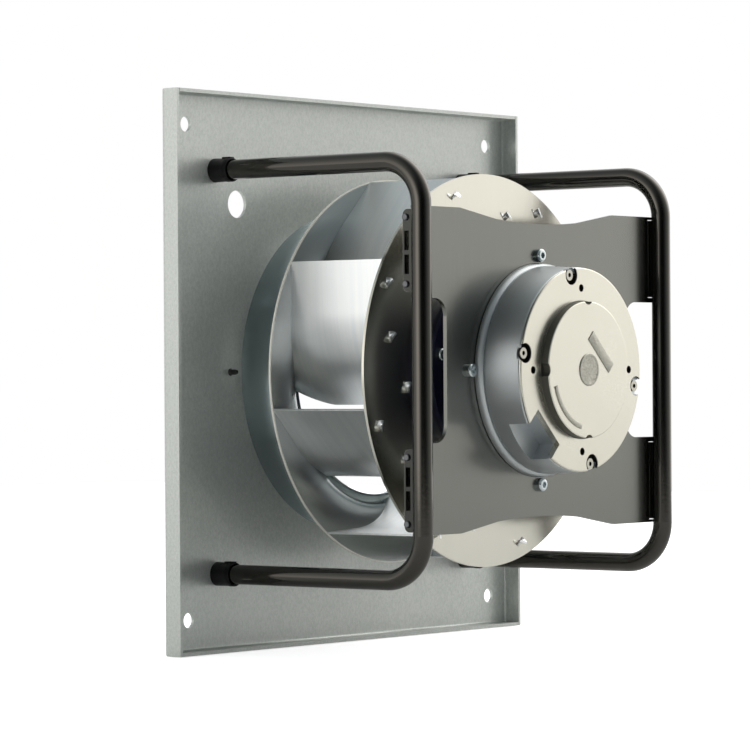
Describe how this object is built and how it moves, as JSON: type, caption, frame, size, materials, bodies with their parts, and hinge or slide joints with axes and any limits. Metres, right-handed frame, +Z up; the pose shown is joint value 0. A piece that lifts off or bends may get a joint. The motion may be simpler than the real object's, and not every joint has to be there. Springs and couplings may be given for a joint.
{
  "type": "centrifugal fan",
  "caption": "Plug fan: backward curved impeller on an external rotor motor, carried by U tubes on a square wall plate with an inlet ring.",
  "frame": {"origin": "on the fan axis, in the wall plate's mounting face", "axes": "+Y along the fan axis towards the inlet side, +Z up, +X to the right seen from the motor side"},
  "size_m": [0.4, 0.2285, 0.4],
  "materials": {
    "galvanised_steel": "satin zinc coated sheet",
    "motor_plate_steel": "satin zinc coated sheet",
    "impeller_aluminium": "mill finish sheet, fine lengthwise grain",
    "tube_paint": "gloss black powder coat",
    "sleeve_plastic": "matt black",
    "tap_plastic": "dark moulded",
    "zinc_fastener": "bright zinc plated",
    "cast_aluminium": "satin die cast, turned faces",
    "rotor_steel": "dark blue black coat",
    "bearing_steel": "ground",
    "shaft_steel": "ground",
    "spring_steel": "phosphated",
    "magnet_ferrite": "sintered ferrite",
    "core_laminations": "stacked sheets",
    "coil_copper": "enamelled copper wire",
    "board_laminate": "green laminate",
    "capacitor_can": "bright drawn can"
  },
  "bodies": {
    "frame": {"mounting_plate": "galvanised_steel", "inlet_ring": "galvanised_steel", "pressure_tap": "tap_plastic", "left_tube": "tube_paint", "right_tube": "tube_paint", "upper_left_sleeve": "sleeve_plastic", "upper_right_sleeve": "sleeve_plastic", "lower_left_sleeve": "sleeve_plastic", "lower_right_sleeve": "sleeve_plastic", "tube_inserts": "zinc_fastener", "tube_screws": "zinc_fastener", "motor_plate": "motor_plate_steel", "upper_left_saddle": "motor_plate_steel", "upper_right_saddle": "motor_plate_steel", "lower_left_saddle": "motor_plate_steel", "lower_right_saddle": "motor_plate_steel", "saddle_screws": "zinc_fastener", "saddle_nuts": "zinc_fastener", "motor_flange": "cast_aluminium", "motor_screws": "zinc_fastener", "electronics_housing": "cast_aluminium", "housing_screws": "zinc_fastener", "housing_cover": "cast_aluminium", "cover_screws": "zinc_fastener", "circuit_board": "board_laminate", "board_screws": "zinc_fastener", "capacitors": "capacitor_can", "stator_core": "core_laminations", "stator_coils": "coil_copper", "front_bearing_outer_ring": "bearing_steel", "rear_bearing_outer_ring": "bearing_steel", "preload_spring": "spring_steel"},
    "impeller": {"impeller_back_plate": "impeller_aluminium", "impeller_shroud": "impeller_aluminium", "impeller_screws": "zinc_fastener", "impeller_nuts": "zinc_fastener", "rotor_bell": "rotor_steel", "rotor_magnets": "magnet_ferrite", "shaft": "shaft_steel", "retaining_ring": "spring_steel", "front_bearing_inner_ring": "bearing_steel", "rear_bearing_inner_ring": "bearing_steel", "blade_1": "impeller_aluminium", "blade_2": "impeller_aluminium", "blade_3": "impeller_aluminium", "blade_4": "impeller_aluminium", "blade_5": "impeller_aluminium", "blade_6": "impeller_aluminium", "blade_7": "impeller_aluminium", "blade_8": "impeller_aluminium"}
  },
  "joints": [
    {"name": "impeller_spin", "type": "hinge", "parent": "frame", "child": "impeller", "pos_m": [0, 0, 0], "axis": [0, -1, 0], "continuous": true}
  ]
}
